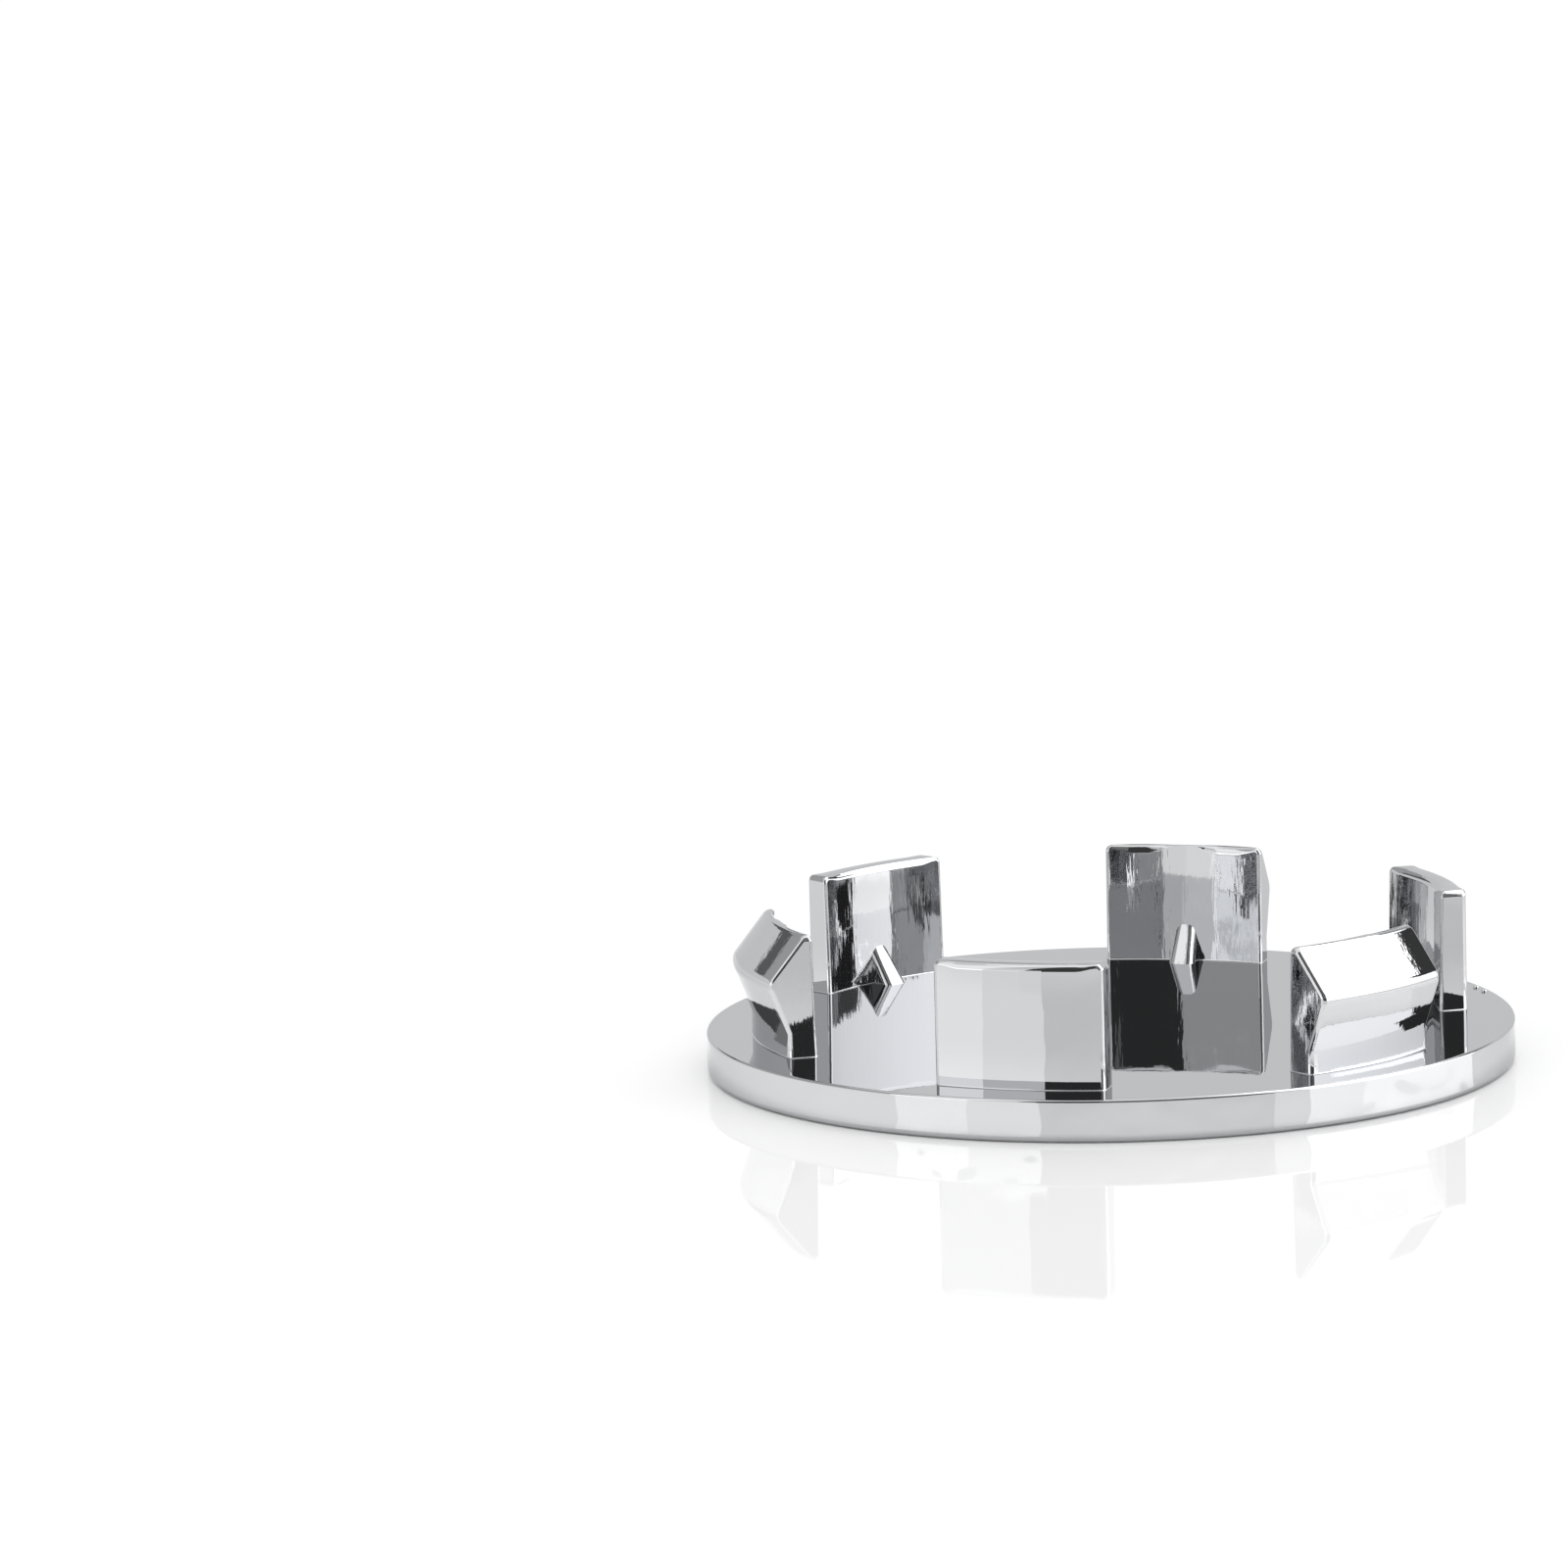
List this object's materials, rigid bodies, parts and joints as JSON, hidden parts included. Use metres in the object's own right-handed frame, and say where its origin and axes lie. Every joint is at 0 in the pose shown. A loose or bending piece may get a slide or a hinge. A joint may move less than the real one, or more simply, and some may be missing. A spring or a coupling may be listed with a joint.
{
  "type": "wheel centre cap",
  "caption": "Snap-in wheel centre cap with a dished round face and a ring of clips, alternately plain and barbed, that grip the hub bore.",
  "frame": {"origin": "on the cap's axis, at the plane of the lip that it lies on, face down", "axes": "+Z along the cap's axis, from the face towards the clips; +X through the middle of a plain clip"},
  "size_m": [0.06, 0.06, 0.0121],
  "materials": {
    "chrome": "bright chrome plating on moulded plastic, mirror smooth, slightly wavy on the backs of the clips"
  },
  "bodies": {
    "root": {"centre_cap": "chrome"}
  },
  "joints": []
}
